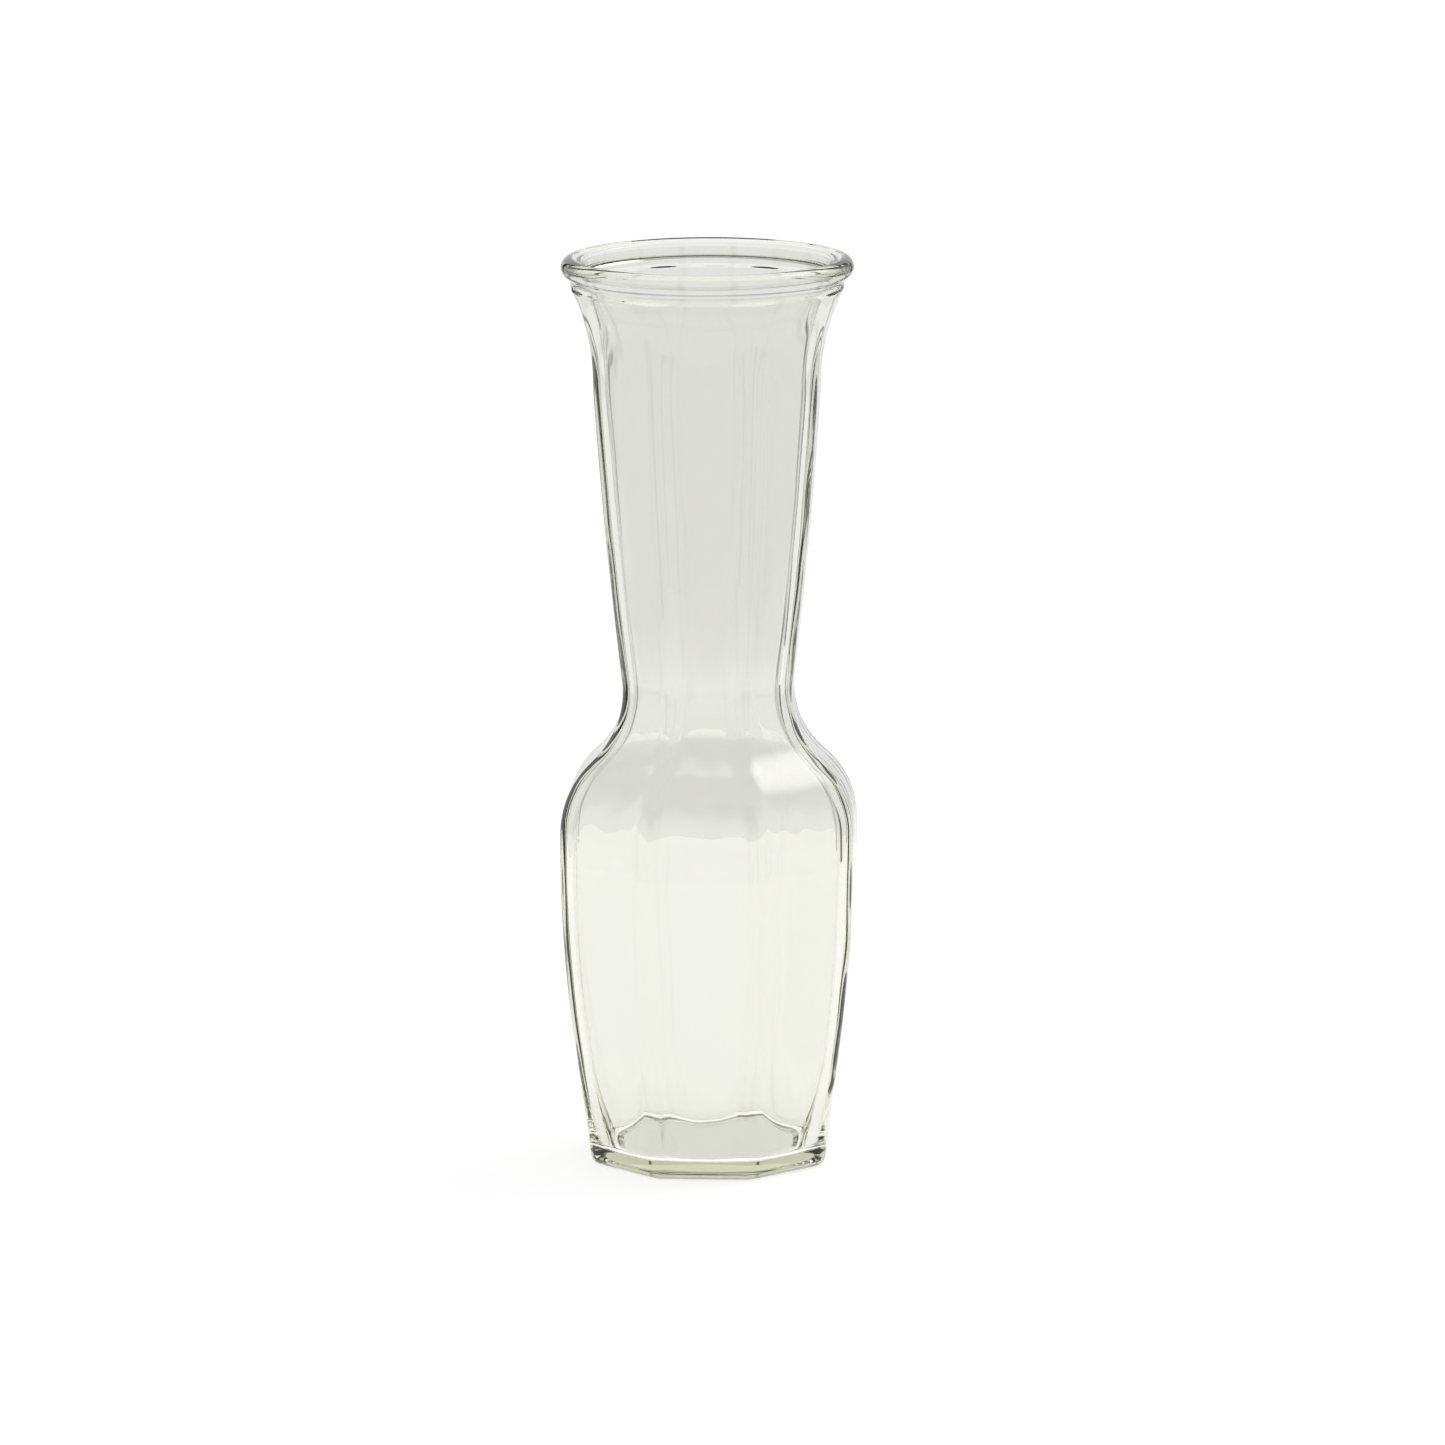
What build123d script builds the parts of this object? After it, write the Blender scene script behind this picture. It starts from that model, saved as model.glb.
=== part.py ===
"""Glass bud vase: one moulded piece of clear glass, eight-sided in the body and neck, round at the lip.

Millimetres. +Z is up, and the origin is at the centre of the foot, on the surface that the vase stands on.
One of the eight flat panels faces -Y. Every "flats" size is the distance between two opposite panels.
"""

from build123d import *
from math import atan, cos, radians, sin, sqrt, tan
import os

# Overall
HEIGHT = 228.6
PANELS = 8

# Outside of the panels, from the foot up
FOOT_FLATS = 58.2
FOOT_TAPER = 7.45  # degrees off vertical, leaning out
BELLY_FLATS = 73.0
BELLY_RADIUS = 330.0
SHOULDER_START = 84.9  # height where the side begins to turn in
SHOULDER_RADIUS = 24.2
SHOULDER_SLOPE = 46.5  # degrees off vertical, leaning in
NECK_ROOT_FLATS = 42.2
NECK_ROOT_RADIUS = 23.0
NECK_LEAN_LOW = 6.7  # degrees off vertical, leaning out
NECK_LEAN_HIGH = 3.5
FLARE_START = 198.7
FLARE_ANGLE = 26.1
PANEL_EDGE_RADIUS = 6.0
HEEL_RADIUS = 2.4

# Collar and rolled lip, which are round
COLLAR_BOTTOM = 220.8
COLLAR_RADIUS = 34.0
LIP_RADIUS = 36.4
LIP_ROLL_RADIUS = 2.6
MOUTH_RADIUS = 30.9
MOUTH_EDGE_RADIUS = 1.0
RIM_SLOPE_DROP = 0.7  # how far the top of the lip slopes down to the mouth's edge
PANELS_FADE_FROM = 192.0  # height where the panels begin to fade into the round collar
PANELS_LEFT_AT_COLLAR = 0.3  # share of the eight-sided shape that is left where the collar begins

# Inside
WALL = 2.7
INNER_EDGE_RADIUS = 9.0
INNER_FLARE_ANGLE = 18.0
FLOOR_HEIGHT = 4.3
FLOOR_RADIUS = 24.0  # the flat middle of the floor, inside its round edge
BOWL_RADIUS = 3.0
BOWL_TURN = 75.0  # degrees that the floor turns up through before it meets the walls

# Hollow under the foot
RECESS_RADIUS = 24.2
RECESS_SLOPE_RUN = 4.0
RECESS_DEPTH = 1.6

STATIONS = 60  # level sections in each loft
HALF_PANEL = 180 / PANELS  # degrees from the middle of a panel to its edge
SPARE = 5.0  # how far a cutter reaches past what it cuts


def side_outline(inset):
    """The upright outline of a panel, from the foot to the start of the flare, moved inwards by inset.

    X is the distance from the axis to the panel, and Y is the height.
    """
    foot = FOOT_FLATS / 2 - inset
    belly = BELLY_FLATS / 2 - inset
    belly_radius = BELLY_RADIUS - inset
    taper_run = (belly - foot - belly_radius * (1 - cos(radians(FOOT_TAPER)))) / sin(radians(FOOT_TAPER))
    taper = PolarLine((foot, 0), taper_run, angle=90 - FOOT_TAPER)
    belly_arc = JernArc(taper @ 1, taper % 1, belly_radius, FOOT_TAPER)
    belly_line = Line(belly_arc @ 1, (belly, SHOULDER_START))

    shoulder_radius = SHOULDER_RADIUS - inset
    root_radius = NECK_ROOT_RADIUS + inset
    neck_root = NECK_ROOT_FLATS / 2 - inset
    slope_run = (belly - neck_root) / sin(radians(SHOULDER_SLOPE))
    slope_run -= (shoulder_radius + root_radius) * tan(radians(SHOULDER_SLOPE / 2))
    shoulder = JernArc(belly_line @ 1, belly_line % 1, shoulder_radius, SHOULDER_SLOPE)
    slope = PolarLine(shoulder @ 1, slope_run, angle=90 + SHOULDER_SLOPE)
    root = JernArc(slope @ 1, slope % 1, root_radius, -(SHOULDER_SLOPE + NECK_LEAN_LOW))

    neck_rise = FLARE_START - (root @ 1).Y
    neck_radius = neck_rise / (sin(radians(NECK_LEAN_LOW)) - sin(radians(NECK_LEAN_HIGH)))
    neck = JernArc(root @ 1, root % 1, neck_radius, NECK_LEAN_LOW - NECK_LEAN_HIGH)
    return [taper, belly_arc, belly_line, shoulder, slope, root, neck]


def outer_outline():
    """The outside of a panel, up to the underside of the collar."""
    edges = side_outline(0)
    neck = edges[-1]
    flare_rise = COLLAR_BOTTOM - FLARE_START
    flare_radius = flare_rise / (sin(radians(FLARE_ANGLE)) - sin(radians(NECK_LEAN_HIGH)))
    flare = JernArc(neck @ 1, neck % 1, flare_radius, NECK_LEAN_HIGH - FLARE_ANGLE)
    return Wire(edges + [flare])


def inner_outline():
    """The inside of a panel, which flares less and ends straight, where the upright mouth begins."""
    edges = side_outline(WALL)
    neck = edges[-1]
    flare_radius = (COLLAR_BOTTOM - FLARE_START) / (sin(radians(FLARE_ANGLE)) - sin(radians(NECK_LEAN_HIGH)))
    flare = JernArc(neck @ 1, neck % 1, flare_radius + WALL, NECK_LEAN_HIGH - INNER_FLARE_ANGLE)
    rest = (MOUTH_RADIUS - (flare @ 1).X) / sin(radians(INNER_FLARE_ANGLE))
    return Wire(edges + [flare, PolarLine(flare @ 1, rest, angle=90 - INNER_FLARE_ANGLE)])


def panel_section(flat, edge_radius, roundness, height):
    """A level face at a height: eight panels with rounded edges at roundness 0, and a circle at 1."""
    half_width = (flat - edge_radius) * tan(radians(HALF_PANEL))
    panel_end = atan(half_width / flat)
    end_reach = flat / cos(panel_end)
    corner_reach = (flat - edge_radius) / cos(radians(HALF_PANEL)) + edge_radius

    def place(angle, reach):
        blended = reach + (flat - reach) * roundness
        return (blended * cos(angle), blended * sin(angle))

    edges = []
    for panel in range(PANELS):
        middle = radians(2 * HALF_PANEL * panel)
        start = place(middle - panel_end, end_reach)
        end = place(middle + panel_end, end_reach)
        corner = place(middle + radians(HALF_PANEL), corner_reach)
        next_start = place(middle + radians(2 * HALF_PANEL) - panel_end, end_reach)
        if roundness > 0:
            edges.append(ThreePointArc(start, place(middle, flat), end))
        else:
            edges.append(Line(start, end))
        edges.append(ThreePointArc(end, corner, next_start))
    return Pos(0, 0, height) * make_face(edges)


def panelled_solid(outline, edge_radius, last_roundness):
    """A solid through level sections along an outline, whose panels fade out towards its top."""
    top = (outline @ 1).Y
    sections = []
    for station in range(STATIONS + 1):
        point = outline @ (station / STATIONS)
        share = max(0, (point.Y - PANELS_FADE_FROM) / (top - PANELS_FADE_FROM))
        roundness = last_roundness * share * share * (3 - 2 * share)
        sections.append(panel_section(point.X, edge_radius, roundness, point.Y))
    return loft(sections)


def make_heel(body):
    """Rounds the edge that the foot stands inside."""
    return fillet(body.faces().sort_by(Axis.Z)[0].edges(), HEEL_RADIUS)


def make_lip():
    """The round collar and the rolled lip, solid to the axis."""
    roll_x = LIP_RADIUS - LIP_ROLL_RADIUS
    roll_z = HEIGHT - LIP_ROLL_RADIUS
    collar_top = roll_z - sqrt(LIP_ROLL_RADIUS**2 - (COLLAR_RADIUS - roll_x) ** 2)
    collar = Polyline((0, COLLAR_BOTTOM), (COLLAR_RADIUS, COLLAR_BOTTOM), (COLLAR_RADIUS, collar_top))
    roll = ThreePointArc((COLLAR_RADIUS, collar_top), (LIP_RADIUS, roll_z), (roll_x, HEIGHT))
    closing = Polyline((roll_x, HEIGHT), (0, HEIGHT), (0, COLLAR_BOTTOM))
    return revolve(Plane.XZ * make_face([collar, roll, closing]), Axis.Z)


def make_bowl():
    """The round hollow that the cavity's lower end is cut to, wider than the walls from there up."""
    floor = Line((0, FLOOR_HEIGHT), (FLOOR_RADIUS, FLOOR_HEIGHT))
    curve = JernArc(floor @ 1, (1, 0), BOWL_RADIUS, BOWL_TURN)
    side_run = (BELLY_FLATS - (curve @ 1).X) / cos(radians(BOWL_TURN))
    side = PolarLine(curve @ 1, side_run, angle=BOWL_TURN)
    closing = Polyline(side @ 1, (BELLY_FLATS, HEIGHT), (0, HEIGHT), (0, FLOOR_HEIGHT))
    return revolve(Plane.XZ * make_face([floor, curve, side, closing]), Axis.Z)


def make_cavity():
    """The inside: a round bowl for a floor, panelled walls, and a round mouth with a soft edge."""
    outline = inner_outline()
    round_from = (outline @ 1).Y
    walls = panelled_solid(outline, INNER_EDGE_RADIUS, 1) & make_bowl()

    edge_top = HEIGHT - RIM_SLOPE_DROP
    edge_start = (MOUTH_RADIUS, edge_top - MOUTH_EDGE_RADIUS)
    edge_end = (MOUTH_RADIUS + MOUTH_EDGE_RADIUS, edge_top)
    wall = Polyline((0, round_from), (MOUTH_RADIUS, round_from), edge_start)
    edge = RadiusArc(edge_start, edge_end, MOUTH_EDGE_RADIUS)
    rim_x = LIP_RADIUS - LIP_ROLL_RADIUS
    closing = Polyline(edge_end, (rim_x, HEIGHT), (rim_x, HEIGHT + SPARE), (0, HEIGHT + SPARE), (0, round_from))
    mouth = revolve(Plane.XZ * make_face([wall, edge, closing]), Axis.Z)
    return walls + mouth


def make_recess():
    """The shallow round hollow under the foot."""
    outline = Polyline(
        (0, -SPARE),
        (RECESS_RADIUS, -SPARE),
        (RECESS_RADIUS, 0),
        (RECESS_RADIUS - RECESS_SLOPE_RUN, RECESS_DEPTH),
        (0, RECESS_DEPTH),
        close=True,
    )
    return revolve(Plane.XZ * make_face(outline), Axis.Z)


def make_vase():
    body = make_heel(panelled_solid(outer_outline(), PANEL_EDGE_RADIUS, 1 - PANELS_LEFT_AT_COLLAR))
    return body + make_lip() - make_recess() - make_cavity()


os.makedirs("parts", exist_ok=True)
export_step(make_vase(), "parts/vase_glass.step")
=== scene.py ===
"""Glass bud vase: one moulded piece of clear glass on a white table top, in soft light.

Metres, in the CAD frame: +Z up, origin at the centre of the foot, one of the eight flat panels facing -Y.
"""

import math

import bpy
import numpy as np
from mathutils import Matrix, Vector, noise


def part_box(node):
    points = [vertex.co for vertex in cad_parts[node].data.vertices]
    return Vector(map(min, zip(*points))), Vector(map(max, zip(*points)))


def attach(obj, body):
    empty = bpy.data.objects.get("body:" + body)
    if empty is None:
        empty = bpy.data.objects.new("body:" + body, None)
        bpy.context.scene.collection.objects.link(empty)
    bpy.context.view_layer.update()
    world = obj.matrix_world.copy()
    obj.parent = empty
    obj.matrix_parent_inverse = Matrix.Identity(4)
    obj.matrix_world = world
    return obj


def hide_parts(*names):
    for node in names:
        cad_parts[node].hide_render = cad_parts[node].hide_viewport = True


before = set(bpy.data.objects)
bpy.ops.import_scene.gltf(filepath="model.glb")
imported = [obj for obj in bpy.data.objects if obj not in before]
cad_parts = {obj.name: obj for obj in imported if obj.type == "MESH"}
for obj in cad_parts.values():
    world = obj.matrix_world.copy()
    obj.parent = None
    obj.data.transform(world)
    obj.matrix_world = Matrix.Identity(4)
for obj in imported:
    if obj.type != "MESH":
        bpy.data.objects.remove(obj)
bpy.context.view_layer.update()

MM = 0.001
NODE = "vase_glass"

# ---------------------------------------------------------------- sizes, in millimetres
# A "flat" is the distance from the axis to a flat panel.

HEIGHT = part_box(NODE)[1][2] / MM
PANELS = 8
HALF_PANEL = math.pi / PANELS

# outside, from the foot up
FOOT_FLAT = 29.1
FOOT_TAPER = math.radians(7.45)
BELLY_FLAT = 36.5
BELLY_RADIUS = 330.0
SHOULDER_START = 84.9
SHOULDER_RADIUS = 24.2
SHOULDER_SLOPE = math.radians(46.5)
NECK_ROOT_FLAT = 21.1
NECK_ROOT_RADIUS = 23.0
NECK_LEAN_LOW = math.radians(6.7)
NECK_LEAN_HIGH = math.radians(3.5)
FLARE_START = 198.7
FLARE_ANGLE = math.radians(26.1)
EDGE_RADIUS = 6.0
HEEL_RADIUS = 2.4
HEEL_CLEARANCE = 0.8  # height left free between the heel's rounding and the side's first ring

# collar and rolled lip, which are round
COLLAR_BOTTOM = 220.8
COLLAR_RADIUS = 34.0
LEDGE_RISE = 0.8  # the ledge under the collar is rounded over this height
COLLAR_UPRIGHT = 0.4  # the collar's upright side, between the ledge and the groove
GROOVE_ANGLE = math.radians(-58)  # where round the roll the groove above the collar ends
LIP_RADIUS = 36.4
LIP_ROLL_RADIUS = 2.6
ROLL_X, ROLL_Z = LIP_RADIUS - LIP_ROLL_RADIUS, HEIGHT - LIP_ROLL_RADIUS
MOUTH_RADIUS = 30.9
MOUTH_EDGE_RADIUS = 1.0
RIM_SLOPE_DROP = 0.7
MOUTH_EDGE_X, MOUTH_EDGE_Z = MOUTH_RADIUS + MOUTH_EDGE_RADIUS, HEIGHT - RIM_SLOPE_DROP
PANELS_FADE_FROM = 192.0
PANELS_LEFT_AT_COLLAR = 0.3

# inside
WALL = 2.7
INNER_EDGE_RADIUS = 9.0
INNER_FLARE_ANGLE = math.radians(18)
CREASE_SOFTNESS = 2.5  # how far above and below the crease inside the mouth its rounding reaches
FLOOR_HEIGHT = 4.3
FLOOR_RADIUS = 24.0
BOWL_RADIUS = 3.0
BOWL_TURN = math.radians(75)
BOWL_TURNED = FLOOR_HEIGHT + BOWL_RADIUS * (1 - math.cos(BOWL_TURN))  # height where its curve ends
BOWL_TOP = 16.0  # rings are spaced for the bowl below this height
BOWL_BLEND = 0.8  # how softly the bowl and the walls meet

# hollow under the foot
RECESS_RADIUS = 24.2
RECESS_SLOPE_RUN = 4.0
RECESS_FLAT = RECESS_RADIUS - RECESS_SLOPE_RUN
RECESS_DEPTH = 1.6

# rings along each stretch, and columns round each panel
STEPS = 12
BAND_STEPS = 5
LEDGE_STEPS = 6
GROOVE_STEPS = 10
ROLL_STEPS = 32
RIM_STEPS = 6
UPRIGHT_STEPS = 4
CREASE_STEPS = 10
BOWL_STEPS = 26
FLAT_COLUMNS = 7  # on each half of a panel's flat
EDGE_COLUMNS = 7  # on each half of a rounded edge
LARGEST_EDGE_SHARE = 0.8  # of the flat, so that small rings keep some flat

# waves in the glass: (size, width across, length along, random seed)
INSIDE_WAVES = ((0.10, 11, 34, 3.7), (0.05, 3.2, 17, 9.1))
SIDE_WAVES = ((0.03, 9, 16, 21.3),)


# ---------------------------------------------------------------- outline of the glass

class Pen:
    """Draws an upright outline as points (distance from the axis, height), by lines and tangent arcs."""

    def __init__(self, x, z, heading):
        self.x, self.z = x, z
        self.heading = heading  # radians, anticlockwise from outwards
        self.points = [(x, z)]

    def line(self, length, step=2.0):
        count = max(1, math.ceil(length / step))
        for i in range(count):
            self.x += length / count * math.cos(self.heading)
            self.z += length / count * math.sin(self.heading)
            self.points.append((self.x, self.z))

    def arc(self, radius, turn, step=2.0):
        """Turns left for a positive turn, with points about a step apart and at most 6 degrees apart."""
        count = max(2, math.ceil(radius * abs(turn) / step), math.ceil(abs(turn) / math.radians(6)))
        side = math.copysign(1, turn)
        centre_x = self.x - side * radius * math.sin(self.heading)
        centre_z = self.z + side * radius * math.cos(self.heading)
        for i in range(count):
            self.heading += turn / count
            self.x = centre_x + side * radius * math.sin(self.heading)
            self.z = centre_z - side * radius * math.cos(self.heading)
            self.points.append((self.x, self.z))


def side_outline(inset, flare_angle):
    """A panel's outline from the foot to the end of the flare, moved inwards by inset."""
    foot, belly = FOOT_FLAT - inset, BELLY_FLAT - inset
    belly_radius = BELLY_RADIUS - inset
    pen = Pen(foot, 0, math.pi / 2 - FOOT_TAPER)
    pen.line((belly - foot - belly_radius * (1 - math.cos(FOOT_TAPER))) / math.sin(FOOT_TAPER))
    pen.arc(belly_radius, FOOT_TAPER)
    pen.line(SHOULDER_START - pen.z)

    shoulder_radius = SHOULDER_RADIUS - inset
    root_radius = NECK_ROOT_RADIUS + inset
    slope_run = (BELLY_FLAT - NECK_ROOT_FLAT) / math.sin(SHOULDER_SLOPE)
    slope_run -= (shoulder_radius + root_radius) * math.tan(SHOULDER_SLOPE / 2)
    pen.arc(shoulder_radius, SHOULDER_SLOPE, step=1.2)
    pen.line(slope_run, step=1.0)
    pen.arc(root_radius, -SHOULDER_SLOPE - NECK_LEAN_LOW, step=1.2)

    neck_radius = (FLARE_START - pen.z) / (math.sin(NECK_LEAN_LOW) - math.sin(NECK_LEAN_HIGH))
    pen.arc(neck_radius, NECK_LEAN_LOW - NECK_LEAN_HIGH)
    flare_radius = (COLLAR_BOTTOM - FLARE_START) / (math.sin(FLARE_ANGLE) - math.sin(NECK_LEAN_HIGH))
    pen.arc(flare_radius + inset, NECK_LEAN_HIGH - flare_angle, step=1.0)
    return pen


def smooth(share):
    """Goes from 0 to 1 as share does, starting and ending level."""
    return share * share * (3 - 2 * share)


def fade(height, top):
    """0 below the fading panels, growing smoothly to 1 at the top."""
    share = min(max((height - PANELS_FADE_FROM) / (top - PANELS_FADE_FROM), 0), 1)
    return smooth(share)


# The glass is drawn as level rings, from the middle of the underside, up the outside, over the lip and
# down the inside. Each row is (flat, height, edge radius, roundness, surface), and a roundness of 1 is a
# circle.

def underside_rows():
    """The recess, its slope, and the band that the vase stands on."""
    rows = []
    for i in range(1, STEPS):
        rows.append((RECESS_FLAT * i / STEPS, RECESS_DEPTH, EDGE_RADIUS, 1, "under"))
    for i in range(STEPS + 1):
        share = i / STEPS
        reach = RECESS_FLAT + RECESS_SLOPE_RUN * share
        rows.append((reach, RECESS_DEPTH * (1 - smooth(share)), EDGE_RADIUS, 1, "under"))
    band = FOOT_FLAT - HEEL_RADIUS - RECESS_RADIUS
    for i in range(1, BAND_STEPS):
        share = i / BAND_STEPS
        rows.append((RECESS_RADIUS + band * share, 0, EDGE_RADIUS - HEEL_RADIUS, 1 - share, "under"))
    return rows


def side_rows(outline):
    """The heel's rounding, and the panels up to the collar."""
    rows = []
    for i in range(STEPS + 1):
        angle = (math.pi / 2 - FOOT_TAPER) * i / STEPS
        inset = HEEL_RADIUS * (1 - math.sin(angle))
        wall = FOOT_FLAT + HEEL_RADIUS * math.tan(FOOT_TAPER) * math.sin(angle)
        rows.append((wall - inset, HEEL_RADIUS * (1 - math.cos(angle)), EDGE_RADIUS - inset, 0, "side"))
    for x, z in outline:
        if z > HEEL_RADIUS + HEEL_CLEARANCE:
            roundness = (1 - PANELS_LEFT_AT_COLLAR) * fade(z, COLLAR_BOTTOM)
            rows.append((x, z, EDGE_RADIUS, roundness, "side"))
    return rows


def ledge_rows(flare_end):
    """The rounded ledge, from the end of the flare out to the collar."""
    rows = []
    for i in range(1, LEDGE_STEPS + 1):
        share = i / LEDGE_STEPS
        reach = flare_end + (COLLAR_RADIUS - flare_end) * smooth(share)
        roundness = 1 - PANELS_LEFT_AT_COLLAR * (1 - smooth(share))
        rows.append((reach, COLLAR_BOTTOM + LEDGE_RISE * share, EDGE_RADIUS, roundness, "lip"))
    return rows


def lip_points():
    """The round groove, roll, rim and mouth's edge, as (distance from the axis, height)."""
    points = []
    groove_x = ROLL_X + LIP_ROLL_RADIUS * math.cos(GROOVE_ANGLE)
    groove_z = ROLL_Z + LIP_ROLL_RADIUS * math.sin(GROOVE_ANGLE)
    collar_z = COLLAR_BOTTOM + LEDGE_RISE + COLLAR_UPRIGHT
    bend_z = groove_z - (groove_x - COLLAR_RADIUS) * math.tan(math.pi / 2 + GROOVE_ANGLE)
    for i in range(GROOVE_STEPS):
        t = i / GROOVE_STEPS
        z = collar_z * (1 - t) ** 2 + bend_z * 2 * t * (1 - t) + groove_z * t * t
        points.append((COLLAR_RADIUS + (groove_x - COLLAR_RADIUS) * t * t, z))
    for i in range(ROLL_STEPS + 1):
        angle = GROOVE_ANGLE + (math.pi / 2 - GROOVE_ANGLE) * i / ROLL_STEPS
        x = ROLL_X + LIP_ROLL_RADIUS * math.cos(angle)
        points.append((x, ROLL_Z + LIP_ROLL_RADIUS * math.sin(angle)))
    for i in range(1, RIM_STEPS):
        share = i / RIM_STEPS
        points.append((ROLL_X + (MOUTH_EDGE_X - ROLL_X) * share, HEIGHT - RIM_SLOPE_DROP * smooth(share)))
    for i in range(STEPS + 1):
        angle = math.pi / 2 * (1 + i / STEPS)
        x = MOUTH_EDGE_X + MOUTH_EDGE_RADIUS * math.cos(angle)
        points.append((x, MOUTH_EDGE_Z - MOUTH_EDGE_RADIUS + MOUTH_EDGE_RADIUS * math.sin(angle)))
    return points


def inside_rows():
    """The upright mouth, its rounded crease, and the walls, which the bowl cuts off further down."""
    rows = []
    pen = side_outline(WALL, INNER_FLARE_ANGLE)
    pen.line((MOUTH_RADIUS - pen.x) / math.sin(INNER_FLARE_ANGLE), step=1.0)
    crease = pen.z
    upright_top = MOUTH_EDGE_Z - MOUTH_EDGE_RADIUS
    for i in range(1, UPRIGHT_STEPS + 1):
        z = upright_top + (crease + CREASE_SOFTNESS - upright_top) * i / UPRIGHT_STEPS
        rows.append((MOUTH_RADIUS, z, INNER_EDGE_RADIUS, 1, "inside"))
    for i in range(1, CREASE_STEPS):
        t = i / CREASE_STEPS
        x = MOUTH_RADIUS - t * t * CREASE_SOFTNESS * math.tan(INNER_FLARE_ANGLE)
        z = crease + CREASE_SOFTNESS * (1 - 2 * t)
        rows.append((x, z, INNER_EDGE_RADIUS, fade(min(z, crease), crease), "inside"))
    for x, z in reversed(pen.points):
        if BOWL_TOP < z < crease - CREASE_SOFTNESS:
            rows.append((x, z, INNER_EDGE_RADIUS, fade(z, crease), "inside"))
    for z in bowl_heights():
        rows.append((FOOT_FLAT - WALL + z * math.tan(FOOT_TAPER), z, INNER_EDGE_RADIUS, 0, "inside"))
    return rows


def floor_rows():
    reaches = [FLOOR_RADIUS * (1 - i / STEPS) for i in range(1, STEPS)]
    return [(reach, FLOOR_HEIGHT, INNER_EDGE_RADIUS, 1, "floor") for reach in reaches]


def bowl_heights():
    """Heights of the rings in the bowl, from where it meets the walls down to the flat floor."""
    side = [BOWL_TURNED + (BOWL_TOP - BOWL_TURNED) * (1 - i / STEPS) for i in range(STEPS)]
    curve = []
    for i in range(BOWL_STEPS + 1):
        curve.append(FLOOR_HEIGHT + BOWL_RADIUS * (1 - math.cos(BOWL_TURN * (1 - i / BOWL_STEPS))))
    return side + curve


def bowl_reach(height):
    """How wide the round bowl is that ends the hollow, at a height."""
    if height < BOWL_TURNED:
        return FLOOR_RADIUS + math.sqrt(max(BOWL_RADIUS ** 2 - (FLOOR_HEIGHT + BOWL_RADIUS - height) ** 2, 0))
    return FLOOR_RADIUS + BOWL_RADIUS * math.sin(BOWL_TURN) + (height - BOWL_TURNED) / math.tan(BOWL_TURN)


def meridian():
    """All the rows of the glass."""
    outline = side_outline(0, FLARE_ANGLE).points
    rows = underside_rows() + side_rows(outline) + ledge_rows(outline[-1][0])
    rows += [(x, z, EDGE_RADIUS, 1, "lip") for x, z in lip_points()]
    return rows + inside_rows() + floor_rows()


# ---------------------------------------------------------------- rings and mesh

def section(flat, edge_radius, roundness):
    """Angles and reaches of one level ring, anticlockwise from the panel that faces +X."""
    edge_radius = min(edge_radius, flat * LARGEST_EDGE_SHARE)
    half_width = (flat - edge_radius) * math.tan(HALF_PANEL)
    centre = (flat - edge_radius) / math.cos(HALF_PANEL)
    half = [(flat, half_width * i / FLAT_COLUMNS) for i in range(FLAT_COLUMNS + 1)]
    for i in range(1, EDGE_COLUMNS + 1):
        angle = HALF_PANEL * i / EDGE_COLUMNS
        half.append((centre * math.cos(HALF_PANEL) + edge_radius * math.cos(angle),
                     centre * math.sin(HALF_PANEL) + edge_radius * math.sin(angle)))
    half = np.array(half)
    mirrored = half[1:-1][::-1] * [1, -1]
    panel = np.concatenate([mirrored, half])
    reach = np.hypot(panel[:, 0], panel[:, 1])
    reach += (flat - reach) * roundness
    angle = np.arctan2(panel[:, 1], panel[:, 0])
    angles = np.concatenate([angle + 2 * HALF_PANEL * k for k in range(PANELS)])
    return angles, np.tile(reach, PANELS)


def ripple(angles, reaches, height, across, along, seed):
    """Smooth random waves round a ring, of a given width across and along the vase, between -1 and 1."""
    points = zip(reaches * np.cos(angles) / across, reaches * np.sin(angles) / across)
    return np.array([noise.noise((x + seed, y, height / along)) for x, y in points])


def waved(angles, reaches, height, waves, calm):
    """The reaches with waves added, whose size is multiplied by calm."""
    total = sum(size * ripple(angles, reaches, height, *shape) for size, *shape in waves)
    return reaches + total * calm


def calm_ends(height, low, low_run, high, high_run):
    """1 between two heights, falling to 0 at low and at high over the given runs."""
    return min(1, max(0, (height - low) / low_run), max(0, (high - height) / high_run))


def soft_least(a, b, blend):
    """The smaller of two lengths, rounded over where they are nearly equal."""
    gap = np.maximum(blend - np.abs(a - b), 0) / blend
    return np.minimum(a, b) - gap * gap * blend / 4


def ring_points(row):
    flat, height, edge_radius, roundness, surface = row
    angles, reaches = section(flat, edge_radius, roundness)
    if surface == "inside":
        calm = calm_ends(height, low=FLOOR_HEIGHT, low_run=14, high=HEIGHT - 6, high_run=12)
        reaches = waved(angles, reaches, height, INSIDE_WAVES, calm)
        reaches = soft_least(reaches, bowl_reach(height), BOWL_BLEND)
    elif surface == "side":
        calm = calm_ends(height, low=4, low_run=8, high=COLLAR_BOTTOM, high_run=8)
        reaches = waved(angles, reaches, height, SIDE_WAVES, calm)
    return np.column_stack([reaches * np.cos(angles), reaches * np.sin(angles), np.full(len(angles), height)])


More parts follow.
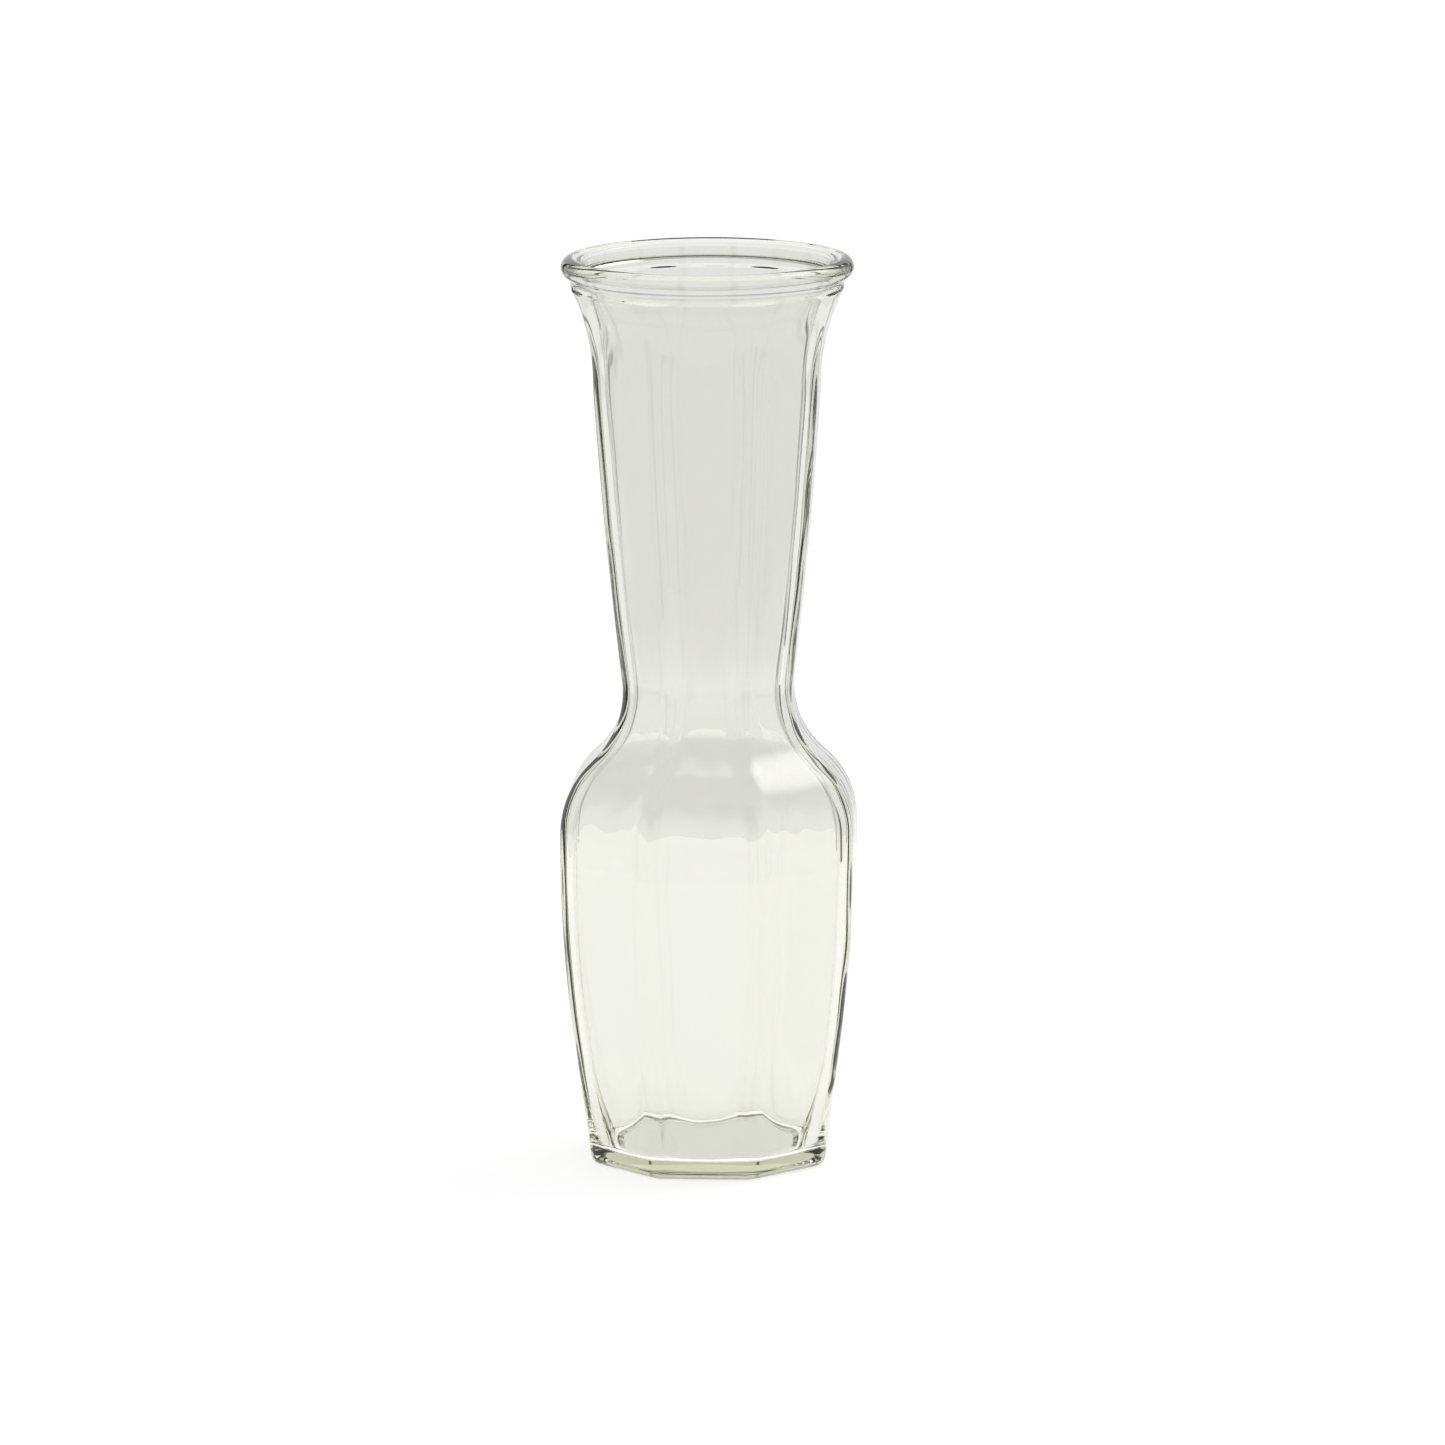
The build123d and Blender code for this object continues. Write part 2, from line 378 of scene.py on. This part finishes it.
def build_vase():
    """One closed mesh: the rings joined in order, and a fan in the middle of the underside and floor."""
    rings = [ring_points(row) for row in meridian()]
    count = len(rings[0])
    verts = np.concatenate(rings + [[(0, 0, RECESS_DEPTH), (0, 0, FLOOR_HEIGHT)]])
    underside_middle, floor_middle = len(verts) - 2, len(verts) - 1
    last = (len(rings) - 1) * count
    faces = []
    for start in range(0, last, count):
        for i in range(count):
            j = (i + 1) % count
            faces.append((start + i, start + j, start + count + j, start + count + i))
    for i in range(count):
        j = (i + 1) % count
        faces.append((underside_middle, j, i))
        faces.append((floor_middle, last + i, last + j))
    mesh = bpy.data.meshes.new("vase_body")
    mesh.from_pydata((verts * MM).tolist(), [], faces)
    mesh.validate()
    mesh.polygons.foreach_set("use_smooth", [True] * len(mesh.polygons))
    piece = bpy.data.objects.new("vase_body", mesh)
    bpy.context.collection.objects.link(piece)
    return piece


# ---------------------------------------------------------------- materials

GLASS_IOR = 1.52
GLASS_COLOUR = (0.925, 0.927, 0.898, 1)
THICK_GLASS_COLOUR = (0.53, 0.56, 0.20, 1)
THICK_GLASS_DENSITY = 15.0
TABLE_COLOUR = (0.5, 0.5, 0.5, 1)
TABLE_GLOW = 0.73  # keeps the table top white
TABLE_ROUGHNESS = 0.9
TABLE_SHEEN = 0.1


def new_material(name):
    material = bpy.data.materials.new(name)
    material.use_nodes = True
    material.node_tree.nodes.clear()
    return material, material.node_tree.nodes, material.node_tree.links


def glass_material():
    material, nodes, links = new_material("clear_glass")
    out = nodes.new("ShaderNodeOutputMaterial")
    shader = nodes.new("ShaderNodeBsdfPrincipled")
    shader.inputs["Base Color"].default_value = GLASS_COLOUR
    shader.inputs["Roughness"].default_value = 0.0
    shader.inputs["IOR"].default_value = GLASS_IOR
    shader.inputs["Transmission Weight"].default_value = 1.0
    links.new(shader.outputs["BSDF"], out.inputs["Surface"])
    tint = nodes.new("ShaderNodeVolumeAbsorption")
    tint.inputs["Color"].default_value = THICK_GLASS_COLOUR
    tint.inputs["Density"].default_value = THICK_GLASS_DENSITY
    links.new(tint.outputs["Volume"], out.inputs["Volume"])
    return material


def table_material():
    material, nodes, links = new_material("pale_table")
    out = nodes.new("ShaderNodeOutputMaterial")
    shader = nodes.new("ShaderNodeBsdfPrincipled")
    shader.inputs["Base Color"].default_value = TABLE_COLOUR
    shader.inputs["Roughness"].default_value = TABLE_ROUGHNESS
    shader.inputs["Specular IOR Level"].default_value = TABLE_SHEEN
    shader.inputs["Emission Color"].default_value = (1, 1, 1, 1)
    shader.inputs["Emission Strength"].default_value = TABLE_GLOW
    links.new(shader.outputs["BSDF"], out.inputs["Surface"])
    return material


vase = build_vase()
vase.data.materials.append(glass_material())
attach(vase, "root")
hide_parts(NODE)

# ---------------------------------------------------------------- table top

TABLE_RADIUS = 0.406  # metres
TABLE_CORNERS = 128


def build_table():
    """A round table top, with the vase at its middle."""
    mesh = bpy.data.meshes.new("table_top")
    ring = []
    for i in range(TABLE_CORNERS):
        angle = 2 * math.pi * i / TABLE_CORNERS
        ring.append((TABLE_RADIUS * math.cos(angle), TABLE_RADIUS * math.sin(angle), 0))
    mesh.from_pydata(ring, [], [tuple(range(TABLE_CORNERS))])
    piece = bpy.data.objects.new("table_top", mesh)
    bpy.context.collection.objects.link(piece)
    mesh.materials.append(table_material())
    return piece


build_table()

# ---------------------------------------------------------------- light

PANEL_TURN = math.radians(3.24)
GAP_WAVE = (-0.97, -0.85)  # the gaps' edges, on a wave that is -1 in the middle of a gap
GAP_COLOUR = (0.10, 0.103, 0.065)
PANEL_RISE = (-0.198, -0.170)  # upward parts of a direction, where the panels go from low to high colour
PANEL_LOW_COLOUR = (0.96, 0.96, 0.975)
PANEL_HIGH_COLOUR = (0.85, 0.85, 0.865)
CEILING_RISE = (0.35, 0.6)
CEILING_COLOUR = (0.5, 0.5, 0.5)
WINDOW = Vector((0.57, 0.36, 0.74)).normalized()  # the way to a bright high window
WINDOW_EDGE = math.radians(22)  # the window fades in from here
WINDOW_CORE = math.radians(8)  # and is at full strength inside this
WINDOW_COLOUR = (2.8, 2.8, 2.8 * 0.97)
BACKDROP_STRENGTH = 1.05


def studio_world():
    """Eight tall white panels round the table with dark gaps between them, a ceiling and a window."""
    world = bpy.data.worlds.new("studio")
    bpy.context.scene.world = world
    world.use_nodes = True
    nodes, links = world.node_tree.nodes, world.node_tree.links
    nodes.clear()

    def put(value, socket):
        if isinstance(value, bpy.types.NodeSocket):
            links.new(value, socket)
        else:
            socket.default_value = value

    def math_node(kind, *values):
        node = nodes.new("ShaderNodeMath")
        node.operation = kind
        for socket, value in zip(node.inputs, values):
            put(value, socket)
        return node.outputs[0]

    def smooth_step(value, low, high):
        node = nodes.new("ShaderNodeMapRange")
        node.interpolation_type = "SMOOTHSTEP"
        node.inputs["From Min"].default_value = low
        node.inputs["From Max"].default_value = high
        links.new(value, node.inputs["Value"])
        return node.outputs["Result"]

    def mixed(amount, first, second):
        node = nodes.new("ShaderNodeMix")
        node.data_type = "RGBA"
        links.new(amount, node.inputs["Factor"])
        for name, value in (("A", first), ("B", second)):
            put((*value, 1) if isinstance(value, tuple) else value, node.inputs[name])
        return node.outputs["Result"]

    where = nodes.new("ShaderNodeTexCoord").outputs["Generated"]
    split = nodes.new("ShaderNodeSeparateXYZ")
    links.new(where, split.inputs[0])
    rise = split.outputs["Z"]
    bearing = math_node("ARCTAN2", split.outputs["X"], split.outputs["Y"])
    wave = math_node("COSINE", math_node("MULTIPLY", math_node("ADD", bearing, PANEL_TURN), PANELS))
    panel = mixed(smooth_step(rise, *PANEL_RISE), PANEL_LOW_COLOUR, PANEL_HIGH_COLOUR)
    walls = mixed(smooth_step(wave, *GAP_WAVE), GAP_COLOUR, panel)
    room = mixed(smooth_step(rise, *CEILING_RISE), walls, CEILING_COLOUR)
    to_window = nodes.new("ShaderNodeVectorMath")
    to_window.operation = "DOT_PRODUCT"
    links.new(where, to_window.inputs[0])
    to_window.inputs[1].default_value = WINDOW
    in_window = smooth_step(to_window.outputs["Value"], math.cos(WINDOW_EDGE), math.cos(WINDOW_CORE))

    # the camera itself sees a plain white backdrop
    out = nodes.new("ShaderNodeOutputWorld")
    studio = nodes.new("ShaderNodeBackground")
    links.new(mixed(in_window, room, WINDOW_COLOUR), studio.inputs["Color"])
    backdrop = nodes.new("ShaderNodeBackground")
    backdrop.inputs["Color"].default_value = (1, 1, 1, 1)
    backdrop.inputs["Strength"].default_value = BACKDROP_STRENGTH
    pick = nodes.new("ShaderNodeMixShader")
    links.new(nodes.new("ShaderNodeLightPath").outputs["Is Camera Ray"], pick.inputs["Fac"])
    links.new(studio.outputs["Background"], pick.inputs[1])
    links.new(backdrop.outputs["Background"], pick.inputs[2])
    links.new(pick.outputs["Shader"], out.inputs["Surface"])


studio_world()

# ---------------------------------------------------------------- camera

CAMERA_DISTANCE = 2.6  # metres
CAMERA_HEIGHT = 0.6007
CAMERA_TURN = math.radians(3.24)  # how far round the vase from the panel that faces -Y
CAMERA_YAW = math.radians(-0.0753)
CAMERA_PITCH = math.radians(10.668)
CAMERA_ROLL = math.radians(-0.178)
CAMERA_LENS = 263.66  # millimetres, on a sensor 36 mm wide
LIGHT_BOUNCES = 24
GLOSSY_BOUNCES = 12

camera_data = bpy.data.cameras.new("camera")
camera_data.lens = CAMERA_LENS
camera_data.sensor_width = 36
camera = bpy.data.objects.new("camera", camera_data)
bpy.context.collection.objects.link(camera)
camera_x = CAMERA_DISTANCE * math.sin(CAMERA_TURN)
camera_y = -CAMERA_DISTANCE * math.cos(CAMERA_TURN)
place = Matrix.Translation((camera_x, camera_y, CAMERA_HEIGHT))
turn = Matrix.Rotation(CAMERA_TURN + CAMERA_YAW, 4, "Z")
tilt = Matrix.Rotation(math.pi / 2 - CAMERA_PITCH, 4, "X")
roll = Matrix.Rotation(CAMERA_ROLL, 4, "Z")
camera.matrix_world = place @ turn @ tilt @ roll
bpy.context.scene.camera = camera

scene = bpy.context.scene
scene.view_settings.view_transform = "Standard"
scene.cycles.max_bounces = LIGHT_BOUNCES
scene.cycles.transmission_bounces = LIGHT_BOUNCES
scene.cycles.glossy_bounces = GLOSSY_BOUNCES
